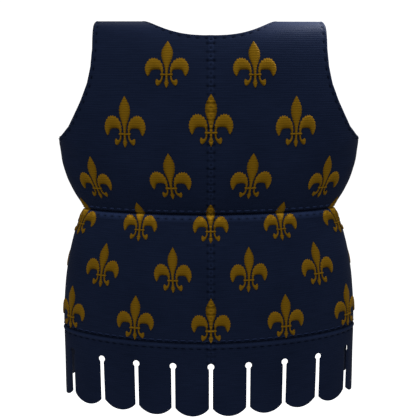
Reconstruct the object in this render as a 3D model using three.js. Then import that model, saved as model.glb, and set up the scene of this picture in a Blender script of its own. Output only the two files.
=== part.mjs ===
// A jupon: a knight's close, sleeveless over-garment of padded cloth, filled out as it is when worn. It has
// a full chest, a tight waist seam, a round skirt, and a hem band cut into round-ended dags by keyhole slots.
// The front faces -Y and +Z is up. The origin is midway between the tops of the two shoulder seams, where
// the wearer's shoulders carry the garment. Left and right are the wearer's, so left is +X.
import * as THREE from "three";

// Driving dimensions, in millimetres.
const WALL = 2.4; // thickness of the padded cloth
const SEAM_GAP = 0.3; // space between two pieces at a seam
const SHOULDER_HALF = 206; // centre to the outer end of the shoulder seam
const NECK_HALF = 120; // centre to the inner end of the shoulder seam
const NECK_DROP_FRONT = 28; // shoulder down to the neckline at the centre front
const NECK_DROP_BACK = 32;
const NECK_FLATNESS = 2.6; // over 2 gives the neckline a flatter bottom
const NECK_EASE = 1.8; // over 1 makes the neckline meet the shoulders more gently
const UNDERARM_Z = -211;
const WAIST_Z = -345;
const HEM_SEAM_Z = -585;
const DAG_TIP_Z = -734; // lowest point of the front dags
const SLOT_END_Z = -719; // where a slot opens out between two round dag ends
const KEYHOLE_TOP_Z = -625;
const KEYHOLE_RADIUS = 7.5;
const SLOT_WIDTH = 9.4;
const DAGS_PER_PANEL = 5;
const BACK_RISE = 26; // how much higher the hem is at the back
const FRONT_POWER = 1.7; // 2 is an ellipse, less is more pointed at the sides, more is squarer
const BACK_POWER = 2.8;

// The rings that the cloth passes through, from the shoulders down: half the width, and how far the ring
// stands in front of and behind the shoulder line.
const RINGS = [
  { z: 0, halfWidth: 285, front: 0, back: 0 },
  { z: -4, halfWidth: 285, front: 30, back: 38 },
  { z: -10, halfWidth: 285, front: 50, back: 62 },
  { z: -22, halfWidth: 285, front: 69, back: 85 },
  { z: -42, halfWidth: 285, front: 83, back: 102 },
  { z: -75, halfWidth: 285, front: 94, back: 116 },
  { z: -120, halfWidth: 285, front: 101, back: 125 },
  { z: -163, halfWidth: 285, front: 105, back: 129 },
  { z: -188, halfWidth: 285, front: 106, back: 130 },
  { z: -203, halfWidth: 285, front: 106, back: 130 },
  { z: UNDERARM_Z, halfWidth: 285, front: 106, back: 130 },
  { z: -247, halfWidth: 281, front: 104, back: 126 },
  { z: -281, halfWidth: 274, front: 98, back: 118 },
  { z: -309, halfWidth: 263, front: 89, back: 108 },
  { z: -329, halfWidth: 252, front: 78, back: 100 },
  { z: WAIST_Z, halfWidth: 241, front: 66, back: 92 },
  { z: -355, halfWidth: 247, front: 74, back: 102 },
  { z: -375, halfWidth: 257, front: 84, back: 117 },
  { z: -405, halfWidth: 268, front: 93, back: 134 },
  { z: -442, halfWidth: 278, front: 99, back: 149 },
  { z: -492, halfWidth: 287, front: 103, back: 162 },
  { z: -542, halfWidth: 292, front: 104, back: 170 },
  { z: HEM_SEAM_Z, halfWidth: 294, front: 104, back: 174 },
  { z: DAG_TIP_Z, halfWidth: 296, front: 104, back: 174 },
];

// The armhole edge, from the shoulder down to the underarm: its distance from the centre.
const ARMHOLE = [
  { z: 0, halfWidth: SHOULDER_HALF },
  { z: -50, halfWidth: 207 },
  { z: -80, halfWidth: 211 },
  { z: -110, halfWidth: 219 },
  { z: -140, halfWidth: 232 },
  { z: -163, halfWidth: 245 },
  { z: -188, halfWidth: 260 },
  { z: -203, halfWidth: 275 },
  { z: UNDERARM_Z, halfWidth: 285 },
];

// Where the columns of a panel's grid stand, as shares of its width from the centre seam outwards. One of
// them meets the inner end of the shoulder seam.
const NECK_SHARE = NECK_HALF / RINGS[0].halfWidth;
const COLUMNS = [0, 0.1, 0.2, 0.3, 0.4, NECK_SHARE, 0.5, 0.6, 0.7, 0.8, 0.9, 1];
const CHEST_ROWS = RINGS.filter((ring) => ring.z >= WAIST_Z).map((ring) => ring.z);
const SKIRT_ROWS = RINGS.filter((ring) => ring.z <= WAIST_Z && ring.z >= HEM_SEAM_Z).map((ring) => ring.z);

const RING_STEPS = 240; // short straight steps that stand in for one half ring
const DAG_ARC_STEPS = 5; // straight steps in half of a dag's round end
const KEYHOLE_STEPS = 5; // straight steps in half of a keyhole's circle

// Reads one column of a table of rows that run down in z, straight between its rows.
function tableAt(table, column, z) {
  const above = Math.max(0, Math.min(table.length - 2, table.findIndex((row) => row.z < z) - 1));
  const start = table[z <= table.at(-1).z ? table.length - 2 : above];
  const end = table[table.indexOf(start) + 1];
  const share = THREE.MathUtils.clamp((start.z - z) / (start.z - end.z), 0, 1);
  return THREE.MathUtils.lerp(start[column], end[column], share);
}

// Half of the ring at height z, from the centre front round the +X side to the centre back. It has two
// quarters of different depth and squareness. Each point carries its distance along the cloth.
function halfRing(z) {
  const halfWidth = tableAt(RINGS, "halfWidth", z);
  const points = [];
  let length = 0;
  for (let step = 0; step <= RING_STEPS; step++) {
    const angle = (Math.PI * step) / RING_STEPS;
    const ahead = step <= RING_STEPS / 2;
    const power = ahead ? FRONT_POWER : BACK_POWER;
    const depth = tableAt(RINGS, ahead ? "front" : "back", z);
    const x = halfWidth * Math.pow(Math.abs(Math.sin(angle)), 2 / power);
    const y = (ahead ? -1 : 1) * depth * Math.pow(Math.abs(Math.cos(angle)), 2 / power);
    const last = points.at(-1);
    if (last) length += Math.hypot(x - last.x, y - last.y);
    points.push({ x, y, length });
  }
  return points;
}

// The point of a half ring at a distance along the cloth from the centre front.
function ringPoint(ring, length) {
  const index = Math.max(1, ring.findIndex((point) => point.length >= length));
  const end = ring[length >= ring.at(-1).length ? ring.length - 1 : index];
  const start = ring[ring.indexOf(end) - 1];
  const share = (length - start.length) / (end.length - start.length || 1);
  return new THREE.Vector2(
    THREE.MathUtils.lerp(start.x, end.x, share),
    THREE.MathUtils.lerp(start.y, end.y, share),
  );
}

// The distance along the cloth from the centre front to the armhole edge, on the front or on the back.
function armholeLength(ring, z, isFront) {
  const reach = tableAt(ARMHOLE, "halfWidth", z);
  const quarter = isFront ? ring.slice(0, RING_STEPS / 2 + 1) : ring.slice(RING_STEPS / 2).reverse();
  const index = Math.max(1, quarter.findIndex((point) => point.x >= reach));
  const inner = quarter[index - 1];
  const outer = quarter[index];
  return THREE.MathUtils.lerp(inner.length, outer.length, (reach - inner.x) / (outer.x - inner.x));
}

// A point of the cloth's outer face: share runs from the centre seam (0) to the side seam (1). Above the
// underarm a column that would pass the armhole's edge stops there.
function clothPoint(z, share, isFront) {
  const ring = halfRing(z);
  const whole = ring.at(-1).length;
  const edge = z > UNDERARM_Z ? armholeLength(ring, z, isFront) : whole / 2;
  const length = isFront
    ? Math.min((share * whole) / 2, edge)
    : Math.max(whole - (share * whole) / 2, edge);
  const flat = ringPoint(ring, length);
  return new THREE.Vector3(flat.x, flat.y, z + backRise(z, flat.y));
}

// The hem climbs behind the side seams. The climb fades out upwards and is gone at the waist.
function backRise(z, y) {
  const depth = Math.max(1, tableAt(RINGS, "back", z));
  const behind = THREE.MathUtils.smoothstep(y / depth, 0, 0.8);
  const down = THREE.MathUtils.clamp((WAIST_Z - z) / (WAIST_Z - HEM_SEAM_Z), 0, 1);
  return BACK_RISE * behind * down;
}

// Height of a chest panel's top edge over a share of its width: the neckline, then the shoulder seam.
function chestTop(share, isFront) {
  const across = Math.min(1, share / NECK_SHARE);
  const drop = isFront ? NECK_DROP_FRONT : NECK_DROP_BACK;
  return -drop * Math.pow(1 - Math.pow(across, NECK_FLATNESS), NECK_EASE);
}

// A sheet is a list of points and a list of triangles, counter-clockwise seen from outside.
function gridSheet(rows) {
  const width = rows[0].length;
  const triangles = [];
  for (let row = 0; row + 1 < rows.length; row++) {
    for (let column = 0; column + 1 < width; column++) {
      const topInner = row * width + column;
      const topOuter = topInner + 1;
      const lowInner = topInner + width;
      const lowOuter = lowInner + 1;
      triangles.push([topInner, lowInner, lowOuter], [topInner, lowOuter, topOuter]);
    }
  }
  return { points: rows.flat(), triangles };
}

// A chest panel, from its top edge down to the waist. Its rows are squeezed under the neckline.
function chestSheet(isFront) {
  return gridSheet(
    CHEST_ROWS.map((rowZ) =>
      COLUMNS.map((share) => {
        const z = Math.min(0, WAIST_Z + (rowZ - WAIST_Z) * (1 - chestTop(share, isFront) / WAIST_Z));
        return clothPoint(z, share, isFront);
      }),
    ),
  );
}

function skirtSheet(isFront) {
  return gridSheet(SKIRT_ROWS.map((z) => COLUMNS.map((share) => clothPoint(z, share, isFront))));
}

// The outline of half a dag with the band above it, flat: x from the slot's centre line to the dag's
// centre line, y the height. It goes down the slot's side and round the dag's end.
function halfDagOutline(halfWidth) {
  const outline = [];
  const slotHalf = SLOT_WIDTH / 2;
  const keyholeZ = KEYHOLE_TOP_Z - KEYHOLE_RADIUS;
  const opening = Math.asin(slotHalf / KEYHOLE_RADIUS);
  for (let step = 0; step <= KEYHOLE_STEPS; step++) {
    const angle = ((Math.PI - opening) * step) / KEYHOLE_STEPS;
    const x = KEYHOLE_RADIUS * Math.sin(angle);
    outline.push(new THREE.Vector2(x, keyholeZ + KEYHOLE_RADIUS * Math.cos(angle)));
  }
  const chord = halfWidth - slotHalf;
  const sagitta = SLOT_END_Z - DAG_TIP_Z;
  const radius = (chord * chord + sagitta * sagitta) / (2 * sagitta);
  const sweep = Math.asin(chord / radius);
  for (let step = 0; step <= DAG_ARC_STEPS; step++) {
    const angle = sweep * (1 - step / DAG_ARC_STEPS);
    const x = halfWidth - radius * Math.sin(angle);
    outline.push(new THREE.Vector2(x, DAG_TIP_Z + radius * (1 - Math.cos(angle))));
  }
  outline.push(new THREE.Vector2(halfWidth, HEM_SEAM_Z), new THREE.Vector2(0, HEM_SEAM_Z));
  return outline;
}

// A hem band panel: half dags side by side, each flat between a slot's line and a dag's line.
function hemBandSheet(isFront) {
  const points = [];
  const triangles = [];
  const halves = 2 * DAGS_PER_PANEL;
  const halfWidth = halfRing(HEM_SEAM_Z).at(-1).length / 2 / halves;
  const outline = halfDagOutline(halfWidth);
  const faces = THREE.ShapeUtils.triangulateShape(outline, []);
  for (let half = 0; half < halves; half++) {
    const slotLine = half % 2 ? half + 1 : half;
    const dagLine = half % 2 ? half : half + 1;
    const first = points.length;
    for (const corner of outline) {
      const across = corner.x / halfWidth;
      const atSlot = clothPoint(corner.y, slotLine / halves, isFront);
      const atDag = clothPoint(corner.y, dagLine / halves, isFront);
      points.push(atSlot.lerp(atDag, across));
    }
    for (const [a, b, c] of faces) {
      const face = [first + a, first + b, first + c];
      triangles.push(slotLine < dagLine ? face : face.reverse());
    }
  }
  return { points, triangles };
}

// Joins points that coincide, so that neighbouring faces share them.
function weldSheet(sheet) {
  const places = new Map();
  const points = [];
  const index = sheet.points.map((point) => {
    const key = placeKey(point);
    if (!places.has(key)) {
      places.set(key, points.length);
      points.push(point.clone());
    }
    return places.get(key);
  });
  const triangles = sheet.triangles
    .map((face) => face.map((corner) => index[corner]))
    .filter(([a, b, c]) => a !== b && b !== c && c !== a);
  return { points, triangles };
}

function placeKey(point) {
  return [point.x, point.y, point.z].map((value) => Math.round(value * 100)).join();
}

// Turns a back panel's faces, which run the other way round the body, to face out.
function faceOut(sheet) {
  return { points: sheet.points, triangles: sheet.triangles.map((face) => [...face].reverse()) };
}

// The same panel on the wearer's right.
function mirrored(sheet) {
  const points = sheet.points.map((point) => new THREE.Vector3(-point.x, point.y, point.z));
  return faceOut({ points, triangles: sheet.triangles });
}

// Directions square to the cloth at every place where panels have a point, so that panels that meet at a
// seam share them.
function sharedNormals(sheets) {
  const normals = new Map();
  for (const { points, triangles } of sheets) {
    for (const face of triangles) {
      const [a, b, c] = face.map((corner) => points[corner]);
      const square = new THREE.Vector3().subVectors(b, a).cross(new THREE.Vector3().subVectors(c, a));
      for (const corner of face) {
        const key = placeKey(points[corner]);
        if (!normals.has(key)) normals.set(key, new THREE.Vector3());
        normals.get(key).add(square);
      }
    }
  }
  for (const normal of normals.values()) normal.normalize();
  return normals;
}

// The edges that only one face has, each in that face's direction.
function rimEdges(triangles) {
  const edges = new Map();
  for (const [a, b, c] of triangles) {
    for (const [from, to] of [[a, b], [b, c], [c, a]]) edges.set(from + "," + to, [from, to]);
  }
  return [...edges.values()].filter(([from, to]) => !edges.has(to + "," + from));
}

// Draws a panel's rim in by half a seam gap, square to the rim and along the cloth.
function drawnIn(sheet, normals) {
  const inward = new Map();
  for (const [from, to] of rimEdges(sheet.triangles)) {
    const along = new THREE.Vector3().subVectors(sheet.points[to], sheet.points[from]).normalize();
    for (const corner of [from, to]) {
      const normal = normals.get(placeKey(sheet.points[corner]));
      const aside = new THREE.Vector3().crossVectors(normal, along).normalize();
      if (!inward.has(corner)) inward.set(corner, []);
      inward.get(corner).push(aside);
    }
  }
  return sheet.points.map((point, corner) => {
    const sides = inward.get(corner) ?? [];
    const sum = sides.reduce((total, side) => total.add(side), new THREE.Vector3());
    const share = sides.length ? sum.dot(sides[0]) : 1;
    return point.clone().addScaledVector(sum, SEAM_GAP / 2 / Math.max(share, 0.3));
  });
}

// Says whether a comes before b along a seam: nearer the centre, or lower where both are as far from it.
function comesFirst(a, b) {
  const further = Math.abs(a.x) - Math.abs(b.x);
  return further === 0 ? a.z < b.z : further < 0;
}

// Gives a sheet its thickness, inwards from its outer face, as one closed solid. Each rim quad is split from
// the outer corner that comes first, so that the two walls of a seam are split alike and stay parallel.
function clothWall(sheet, normals) {
  const outer = drawnIn(sheet, normals);
  const inner = outer.map((point, corner) =>
    point.clone().addScaledVector(normals.get(placeKey(sheet.points[corner])), -WALL),
  );
  const count = outer.length;
  const faces = [...sheet.triangles];
  for (const [a, b, c] of sheet.triangles) faces.push([a + count, c + count, b + count]);
  for (const [from, to] of rimEdges(sheet.triangles)) {
    const fromFirst = comesFirst(sheet.points[from], sheet.points[to]);
    faces.push(fromFirst ? [to, from, to + count] : [to, from, from + count]);
    faces.push(fromFirst ? [from, from + count, to + count] : [to, from + count, to + count]);
  }
  const geometry = new THREE.BufferGeometry().setFromPoints([...outer, ...inner]);
  geometry.setIndex(faces.flat());
  geometry.computeVertexNormals();
  return geometry;
}

// The panels of the wearer's left, each with its mirror image on the right.
function cutPanels() {
  const panels = new Map();
  const makers = { chest: chestSheet, skirt: skirtSheet, hem_band: hemBandSheet };
  for (const [name, makeSheet] of Object.entries(makers)) {
    for (const place of ["front", "back"]) {
      const isFront = place === "front";
      const cut = weldSheet(makeSheet(isFront));
      const left = isFront ? cut : faceOut(cut);
      panels.set(`${name}_${place}_left`, left);
      panels.set(`${name}_${place}_right`, mirrored(left));
    }
  }
  return panels;
}

const navyCloth = new THREE.MeshStandardMaterial({ color: 0x11182a, roughness: 0.85, metalness: 0 });
const panels = cutPanels();
const normals = sharedNormals(panels.values());
const jupon = new THREE.Group();
for (const [name, sheet] of panels) {
  const panel = new THREE.Mesh(clothWall(sheet, normals), navyCloth.clone());
  panel.name = name;
  jupon.add(panel);
}

export default jupon;
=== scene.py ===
import math

import bpy
import numpy as np
from mathutils import Matrix


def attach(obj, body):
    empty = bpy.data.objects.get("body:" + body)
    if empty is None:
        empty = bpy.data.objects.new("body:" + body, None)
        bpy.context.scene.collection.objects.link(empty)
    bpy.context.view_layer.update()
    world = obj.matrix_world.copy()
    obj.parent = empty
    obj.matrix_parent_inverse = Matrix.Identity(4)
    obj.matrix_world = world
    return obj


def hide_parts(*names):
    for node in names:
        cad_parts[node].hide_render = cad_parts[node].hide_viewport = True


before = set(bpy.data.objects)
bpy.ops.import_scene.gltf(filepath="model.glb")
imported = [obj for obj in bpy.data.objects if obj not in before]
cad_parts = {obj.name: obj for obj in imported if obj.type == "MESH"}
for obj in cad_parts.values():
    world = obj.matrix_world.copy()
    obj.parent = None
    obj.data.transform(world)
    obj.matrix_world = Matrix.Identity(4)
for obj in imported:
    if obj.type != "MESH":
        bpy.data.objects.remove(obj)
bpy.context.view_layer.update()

# ---------------- sizes of the garment
WALL = 0.0024  # thickness of the padded cloth
SEAM_GAP = 0.00001  # panels are sewn edge to edge
NECK_HALF = 0.120  # centre to the inner end of the shoulder seam
NECK_DROP = {"front": 0.028, "back": 0.032}  # shoulder down to the neckline at the centre
NECK_FLATNESS = 2.6  # over 2 gives the neckline a flatter bottom
NECK_EASE = 1.8  # over 1 makes the neckline meet the shoulders more gently
UNDERARM_Z = -0.211
WAIST_Z = -0.345
HEM_SEAM_Z = -0.585
DAG_TIP_Z = -0.734
SLOT_END_Z = -0.719  # where a slot opens out between two round dag ends
KEYHOLE_TOP_Z = -0.625
KEYHOLE_RADIUS = 0.0075
SLOT_WIDTH = 0.0094
DAGS_PER_PANEL = 5
DAG_STRAIGHT = 0.022  # from the keyhole's top down to where rows start to bend into the round end
DAG_DRIFT = 0.0014  # how far a dag's tip drifts in or out at most
DAG_BOW = 0.0010  # how far its middle stands out
BACK_RISE = 0.026  # how much higher the hem is at the back
FRONT_POWER = 1.7  # 2 is an ellipse, less is more pointed at the sides, more is squarer
BACK_POWER = 2.8

PLACES = ("front", "back")

# The rings that the cloth passes through, in millimetres: height, half width, depth in front and behind.
CHEST_RINGS = np.array([
    (0, 285, 0, 0), (-4, 285, 30, 38), (-10, 285, 50, 62), (-22, 285, 69, 85), (-42, 285, 83, 102),
    (-75, 285, 94, 116), (-120, 285, 101, 125), (-163, 285, 105, 129), (-188, 285, 106, 130),
    (-211, 285, 106, 130), (-247, 281, 104, 126), (-281, 274, 98, 118), (-309, 263, 89, 108),
    (-329, 252, 78, 100), (-345, 241, 66, 92),
]) / 1000
SKIRT_RINGS = np.array([
    (-345, 241, 66, 92), (-355, 247, 74, 102), (-375, 257, 84, 117), (-405, 268, 93, 134),
    (-442, 278, 99, 149), (-492, 287, 103, 162), (-542, 292, 104, 170), (-585, 294, 104, 174),
    (-734, 296, 104, 174),
]) / 1000

# The armhole edge, from the shoulder down to the underarm: height and distance from the centre.
ARMHOLE = np.array([
    (0, 206), (-50, 207), (-80, 211), (-110, 219), (-140, 232), (-163, 245), (-188, 260), (-203, 275),
    (-211, 285),
]) / 1000

NECK_SHARE = NECK_HALF / CHEST_RINGS[0, 1] / 2  # where the neckline meets the shoulder seam, as a share
MEAN_HALF_LENGTH = 0.64  # of the cloth from the centre front round to the centre back
MEAN_DEPTH = 0.75  # of a ring, as a part of its depth at the centre front
STITCH_PITCH = 0.015  # one stitch and one space
CENTRE_PITCH = 0.0142  # the same at the centre seams
SHARE_STEPS = 480  # columns of the tables of rings
ROW_STEPS = 240
RING_POINTS = 2881  # round half a ring, before it is read at even shares
PROFILE_POINTS = 6000  # down the cloth from the shoulders to the dag tips
CHEST_POINTS = 4000  # down the chest
LINE_STEP = 0.0005  # between the points of an edge line


def smooth(value, low=0.0, high=1.0):
    """An S-shaped step: 3t^2 - 2t^3, where t runs from 0 at low to 1 at high."""
    t = np.clip((value - low) / (high - low), 0, 1)
    return t * t * (3 - 2 * t)


def hill(distance, width):
    """A soft hill one high: e to the minus (distance / width) squared."""
    return np.exp(-((distance / width) ** 2))


def through(knots, values, at):
    """A smooth curve through the knots. On each span it is the cubic whose end slopes are the harmonic
    means of the two straight slopes that meet there, so it never swings past a knot."""
    step = np.diff(knots)
    slope = np.diff(values, axis=0) / step[:, None]
    both = slope[:-1] * slope[1:]
    total = np.where(both > 0, slope[:-1] + slope[1:], 1)
    ends = np.concatenate([slope[:1], np.where(both > 0, 2 * both / total, 0), slope[-1:]])
    span = np.clip(np.searchsorted(knots, at) - 1, 0, len(knots) - 2)
    t = ((at - knots[span]) / step[span])[:, None]
    reach = step[span][:, None]
    return (
        values[span] * (1 + 2 * t) * (1 - t) ** 2
        + values[span + 1] * (3 - 2 * t) * t**2
        + reach * (ends[span] * t * (1 - t) ** 2 - ends[span + 1] * t**2 * (1 - t))
    )


def rings_at(z):
    """Half width, front depth and back depth at each height. The chest is read against the square root of
    the drop from the shoulders, which rounds them over, and the skirt against the height itself."""
    chest_at = np.sqrt(np.clip(-z, 0, -WAIST_Z))
    chest = through(np.sqrt(-CHEST_RINGS[:, 0]), CHEST_RINGS[:, 1:], chest_at)
    skirt = through(-SKIRT_RINGS[:, 0], SKIRT_RINGS[:, 1:], np.clip(-z, -WAIST_Z, -DAG_TIP_Z))
    return np.where((z >= WAIST_Z)[:, None], chest, skirt)


def half_rings(z):
    """Half of the ring at each height, from the centre front round +X to the centre back. Each quarter is a
    superellipse: x = half width * sin(turn)^(2/power) and y = depth * cos(turn)^(2/power)."""
    turn = np.linspace(0, math.pi, RING_POINTS)
    ahead = turn <= math.pi / 2
    half_width, front, back = (column[:, None] for column in rings_at(z).T)
    power = np.where(ahead, FRONT_POWER, BACK_POWER)
    x = half_width * np.abs(np.sin(turn)) ** (2 / power)
    y = np.where(ahead, -front, back) * np.abs(np.cos(turn)) ** (2 / power)
    run = np.cumsum(np.hypot(np.diff(x, axis=1), np.diff(y, axis=1)), axis=1)
    return x, y, np.concatenate([np.zeros((len(z), 1)), run], axis=1)


def carried_on(table):
    """The table with one more row before and after it, carried straight on."""
    return np.concatenate([2 * table[:1] - table[1:2], table, 2 * table[-1:] - table[-2:-1]])


def even_rings(z):
    """The half rings read at even shares of their length, with one more row and column beyond each side, so
    that a cubic can be read up to the edges. Also gives the length of each half ring."""
    x, y, run = half_rings(z)
    apart = 2.0 * np.arange(len(z))[:, None]
    want = (apart + np.linspace(0, 1, SHARE_STEPS + 1)).ravel()
    have = (apart + run / run[:, -1:]).ravel()
    shape = (len(z), SHARE_STEPS + 1)
    table = np.stack([np.interp(want, have, side.ravel()).reshape(shape) for side in (x, y)], axis=-1)
    table = carried_on(carried_on(table).swapaxes(0, 1)).swapaxes(0, 1)
    return np.ascontiguousarray(table), run[:, -1]


CHEST_HEIGHTS = WAIST_Z * np.linspace(0, 1, ROW_STEPS + 1) ** 2
SKIRT_HEIGHTS = np.linspace(WAIST_Z, DAG_TIP_Z, ROW_STEPS + 1)
CHEST_TABLE, CHEST_LENGTHS = even_rings(CHEST_HEIGHTS)
SKIRT_TABLE, SKIRT_LENGTHS = even_rings(SKIRT_HEIGHTS)


def half_length(z):
    """How long the cloth is from the centre front round to the centre back."""
    heights = np.concatenate([CHEST_HEIGHTS, SKIRT_HEIGHTS[1:]])
    return np.interp(-z, -heights, np.concatenate([CHEST_LENGTHS, SKIRT_LENGTHS[1:]]))


def run_along(*columns):
    """How far along a line each of its points is, from the columns of its coordinates."""
    return np.concatenate([[0], np.cumsum(np.sqrt(sum(np.diff(column) ** 2 for column in columns)))])


def read_along(at, run, rows):
    """The rows of a line's points read at distances along it."""
    return np.stack([np.interp(at, run, column) for column in rows.T], axis=1)


PROFILE_HEIGHTS = DAG_TIP_Z * np.linspace(0, 1, PROFILE_POINTS)
PROFILE_RUN = run_along(MEAN_DEPTH * rings_at(PROFILE_HEIGHTS)[:, 1], PROFILE_HEIGHTS)


def cloth_run(z):
    """How far down the cloth each height is from the shoulders, along the front."""
    return np.interp(-z, -PROFILE_HEIGHTS, PROFILE_RUN)


def height_at(run):
    """The height that is that far down the cloth."""
    return np.interp(run, PROFILE_RUN, PROFILE_HEIGHTS)


def read_table(table, row, column):
    """A point of a table between its rows and columns: the cubic through the four nearest, each way."""

    def weights(t):
        t = t[:, None]
        cube = np.array([[0, 1, 0, 0], [-0.5, 0, 0.5, 0], [1, -2.5, 2, -0.5], [-0.5, 1.5, -1.5, 0.5]])
        return np.concatenate([np.ones_like(t), t, t * t, t**3], axis=1) @ cube

    first_row = np.clip(np.floor(row).astype(int), 0, table.shape[0] - 4)
    first_column = np.clip(np.floor(column).astype(int), 0, table.shape[1] - 4)
    four = np.arange(4)
    near = table[first_row[:, None, None] + four[:, None], first_column[:, None, None] + four]
    return np.einsum("ni,nj,nijk->nk", weights(row - first_row), weights(column - first_column), near)


def cloth(share, z):
    """A point of the cloth's plain form. Share is 0 at the centre front, 0.5 at the side seam on +X and 1
    at the centre back, minus that on -X. Behind the side seams the skirt climbs by the back's rise."""
    share = (share + 1) % 2 - 1
    column = np.abs(share) * SHARE_STEPS
    chest = read_table(CHEST_TABLE, np.sqrt(np.clip(z / WAIST_Z, 0, 1)) * ROW_STEPS, column)
    down = np.clip((z - WAIST_Z) / (DAG_TIP_Z - WAIST_Z), 0, 1)
    skirt = read_table(SKIRT_TABLE, down * ROW_STEPS, column)
    xy = np.where((z >= WAIST_Z)[:, None], chest, skirt)
    behind = smooth(xy[:, 1] / np.maximum(rings_at(z)[:, 2], 0.001), 0, 0.8)
    rise = BACK_RISE * behind * np.clip((WAIST_Z - z) / (WAIST_Z - HEM_SEAM_Z), 0, 1)
    return np.stack([xy[:, 0] * np.sign(share), xy[:, 1], z + rise], axis=1)


def unit(vectors):
    """The vectors at length one."""
    return vectors / np.maximum(np.linalg.norm(vectors, axis=-1, keepdims=True), 1e-12)


def from_front(share, place):
    """Share counted from the centre front for share from a panel's own centre seam, or the reverse."""
    return share if place == "front" else 1 - share


def cloth_frame(share, z):
    """A point of the cloth's plain form with the directions across and up the cloth and out of it, from
    points a little to each side of it."""
    step = 0.0005  # half a millimetre
    aside = step / half_length(z)
    across = unit(cloth(share + aside, z) - cloth(share - aside, z))
    up = unit(cloth(share, np.minimum(z + step, 0)) - cloth(share, z - step))
    out = unit(np.cross(across, up))
    return cloth(share, z), across, up, out


# ---------------- edges of the chest panels
def armhole_share(z, place):
    """The share at which the armhole edge crosses each height, on the front or on the back: the ring's
    widest half is searched for the distance from the centre that the table of the armhole gives."""
    shares = from_front(np.linspace(0, 0.5, 401), place)
    reach = np.interp(-z, -ARMHOLE[:, 0], ARMHOLE[:, 1])
    x = cloth(np.tile(shares, len(z)), np.repeat(z, len(shares)))[:, 0].reshape(len(z), -1)
    x = np.maximum.accumulate(x, axis=1)
    apart = np.arange(len(z))[:, None]
    found = np.interp((apart + reach[:, None]).ravel(), (apart + x).ravel(), np.tile(shares, len(z)))
    return np.where(z > UNDERARM_Z, found, 0.5)


ARMHOLE_HEIGHTS = UNDERARM_Z * np.linspace(0, 1, 120) ** 1.5
ARMHOLE_SHARES = {place: armhole_share(ARMHOLE_HEIGHTS, place) for place in PLACES}


def panel_width(z, place):
    """How much share a panel takes at each height: half the ring below the underarm, and less above it."""
    return from_front(np.interp(-z, -ARMHOLE_HEIGHTS, ARMHOLE_SHARES[place]), place)


def neckline(share, place):
    """Height of a chest panel's top edge, with share counted from its centre seam: a scoop that drops by
    drop * (1 - across^flatness)^ease, then the level shoulder seam."""
    across = np.clip(share / NECK_SHARE, 0, 1)
    return -NECK_DROP[place] * (1 - across**NECK_FLATNESS) ** NECK_EASE


def even_line(share, z):
    """A line on the cloth as evenly spaced points, with the share and height of each as two more columns,
    and how far along the line each one is."""
    rows = np.column_stack([cloth(share, z), share, z])
    run = run_along(*rows[:, :3].T)
    at = np.linspace(0, run[-1], int(run[-1] / LINE_STEP) + 1)
    return read_along(at, run, rows), at


def edge_lines(place):
    """The neckline and the armhole edge of the +X half."""
    share = NECK_SHARE * np.sin(np.linspace(0, math.pi / 2, 300))
    z = UNDERARM_Z * np.linspace(0, 1, 400) ** 2
    armhole = np.interp(-z, -ARMHOLE_HEIGHTS, ARMHOLE_SHARES[place])
    return even_line(from_front(share, place), neckline(share, place)), even_line(armhole, z)


EDGE_LINES = {place: edge_lines(place) for place in PLACES}


def nearest(points, line, along):
    """Distance from each point to the line, and how far along the line the nearest place is."""
    square = (points**2).sum(1)[:, None] + (line**2).sum(1) - 2 * points @ line.T
    index = square.argmin(axis=1)
    return np.sqrt(np.maximum(square[np.arange(len(points)), index], 0)), along[index]


# ---------------- how the cloth stands off its plain form
def stitch_wave(along):
    """One at the middle of each stitch and zero between stitches: half of 1 - cos of the way along."""
    return 0.5 - 0.5 * np.cos(2 * math.pi * along / STITCH_PITCH)


WAIST_STITCHES = {"above": 0.0062, "below": -0.0080}  # the rows of stitches, from the seam
HEM_STITCHES = {"above": 0.0056, "below": -0.0108}
CENTRE_STITCHES = 0.0060  # from the centre seam to the stitches on each side of it
EDGE_STITCHES = 0.0070  # the same from a turned edge
EDGE_SINK = 0.0011  # how far a turned edge rolls in, and its stitches sink
EDGE_ROLL = 0.0030  # how wide the rolled edge is
EDGE_DIMPLE = (0.0013, 0.0019, 0.60)  # depth and width of a stitch's dimple, and how much darker it is painted, a painted shade
EDGE_SWELL = (0.0026, 0.0004, 0.0012)  # the swell between edge and stitches: how far in, height, width

# Hills and troughs across the level seams: how far above the seam, how high, how wide, and how much is left
# between stitches. The waist and hem seams are grooves with a pulled row of stitches on each side.
SEAM_RELIEF = {
    WAIST_Z: (
        (0, -0.0017, 0.0016, 1),
        (0.0036, 0.0008, 0.0018, 1),
        (-0.0048, 0.0008, 0.0028, 1),
        (WAIST_STITCHES["above"], -0.0009, 0.0016, 0.3),
        (WAIST_STITCHES["below"], -0.0014, 0.0019, 0.15),
    ),
    HEM_SEAM_Z: (
        (0, -0.0022, 0.0018, 1),
        (-0.0054, 0.0014, 0.0030, 1),
        (HEM_STITCHES["above"], -0.0009, 0.0016, 0.3),
        (HEM_STITCHES["below"], -0.0012, 0.0017, 0.15),
    ),
}
# The same for painted shade and highlight there, as a part of the cloth's colour: painted shadow in the
# grooves and at the pulled stitches, painted highlight on the raised ridge below the hem seam.
SEAM_PAINTED_SHADING = {
    WAIST_Z: ((0, -0.20, 0.0016, 1), (WAIST_STITCHES["below"], -0.50, 0.0019, 0)),
    HEM_SEAM_Z: (
        (0, -0.40, 0.0016, 1),
        (HEM_STITCHES["below"], -0.55, 0.0018, 0),
        (-0.0045, 0.35, 0.0025, 1),
        (HEM_STITCHES["below"] + 0.0030, 0.30, 0.0016, 1),
    ),
}
WAIST_BAND_PAINTED_HIGHLIGHT = 2.1  # how much lighter the skirt is painted just below the waist seam: a painted highlight where it faces up
CENTRE_BAND = (0.0003, 0.0058)  # height and width of the low band along a centre seam
CENTRE_RELIEF = (-0.0016, -0.0012, 0.0010)  # height of its dimples, smile-shaped folds and raised rings
CENTRE_PAINTED_SHADING = (-0.72, -0.56, 0.62)  # painted shade in the dimples and folds, painted highlight on the rings
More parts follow.
